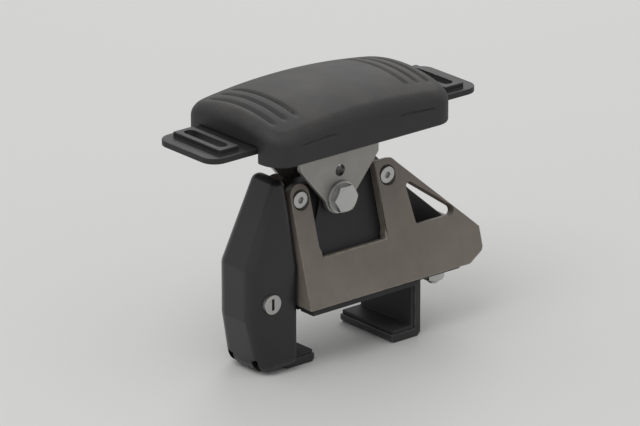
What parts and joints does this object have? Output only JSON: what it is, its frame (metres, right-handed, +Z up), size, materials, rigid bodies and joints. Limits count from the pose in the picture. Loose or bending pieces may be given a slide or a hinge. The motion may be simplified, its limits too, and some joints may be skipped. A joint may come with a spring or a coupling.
{
  "type": "kayak saddle carrier",
  "caption": "Pivoting kayak saddle with a crowned rubber pad, strap wings and a locking clamp for a flat roof bar.",
  "frame": {"origin": "centre of the rubber seat's underside, where it stands on top of the roof bar", "axes": "+X along the bar towards the outside of the vehicle, +Y towards the vehicle's rear, +Z up"},
  "size_m": [0.074, 0.172, 0.1425],
  "materials": {
    "frame_grey": "satin warm grey paint, a little dusty",
    "black_plastic": "fine-grained black nylon",
    "cover_plastic": "fine-grained black moulding, slightly glossy on its edges",
    "black_rubber": "matt rubber",
    "pad_rubber": "dull rubber, greyer where it is rubbed",
    "black_steel": "black powder coat",
    "yoke_steel": "dull zinc-plated plate",
    "zinc_steel": "zinc-plated fasteners",
    "spring_steel": "dark spring steel",
    "lock_metal": "bright plated lock",
    "bush_plastic": "natural nylon"
  },
  "bodies": {
    "frame": {"base_frame": "frame_grey", "core_post": "black_plastic", "frame_bolts": "zinc_steel", "frame_nuts": "zinc_steel", "bar_seat_pad": "black_rubber", "rear_jaw": "black_steel", "rear_jaw_liner": "black_rubber", "rear_jaw_bolts": "zinc_steel", "rear_jaw_nuts": "zinc_steel", "clamp_nut": "zinc_steel", "pitch_bush": "bush_plastic", "friction_discs": "black_plastic"},
    "jaw": {"front_jaw": "black_steel", "front_jaw_liner": "black_rubber", "clamp_washer": "zinc_steel", "cover_pin": "zinc_steel"},
    "knob": {"clamp_knob": "black_plastic", "clamp_screw": "zinc_steel", "screw_clip": "spring_steel"},
    "cover": {"clamp_cover": "cover_plastic"},
    "lock": {"lock_cylinder": "lock_metal", "lock_cam": "lock_metal", "cam_clip": "spring_steel"},
    "yoke": {"yoke": "yoke_steel", "pitch_bolt": "zinc_steel", "pitch_nut": "zinc_steel", "pitch_washers": "zinc_steel", "roll_pin": "zinc_steel", "roll_clips": "spring_steel"},
    "pad": {"pad_tray": "black_plastic", "rubber_pad": "pad_rubber", "pad_screws": "zinc_steel"}
  },
  "joints": [
    {"name": "pad_pitch", "type": "hinge", "parent": "frame", "child": "yoke", "pos_m": [0, -0.008, 0.054], "axis": [1, 0, 0], "range_deg": [-12, 12]},
    {"name": "pad_roll", "type": "hinge", "parent": "yoke", "child": "pad", "pos_m": [0, -0.008, 0.085], "axis": [0, 1, 0], "range_deg": [-45, 45]},
    {"name": "jaw_slide", "type": "slide", "parent": "frame", "child": "jaw", "axis": [0, -1, 0], "range_m": [0, 0.008]},
    {"name": "knob_spin", "type": "hinge", "parent": "jaw", "child": "knob", "pos_m": [0, -0.05, 0.028], "axis": [0, -1, 0], "range_deg": [0, 2880]},
    {"name": "cover_swing", "type": "hinge", "parent": "jaw", "child": "cover", "pos_m": [0, -0.05, -0.022], "axis": [1, 0, 0], "range_deg": [0, 100]},
    {"name": "lock_turn", "type": "hinge", "parent": "cover", "child": "lock", "pos_m": [0.013, -0.052, 0.008], "axis": [-1, 0, 0], "range_deg": [0, 90]}
  ],
  "couplings": [
    {"joint": "knob_spin", "follows": "jaw_slide", "rad_per_m": 6283.1}
  ]
}
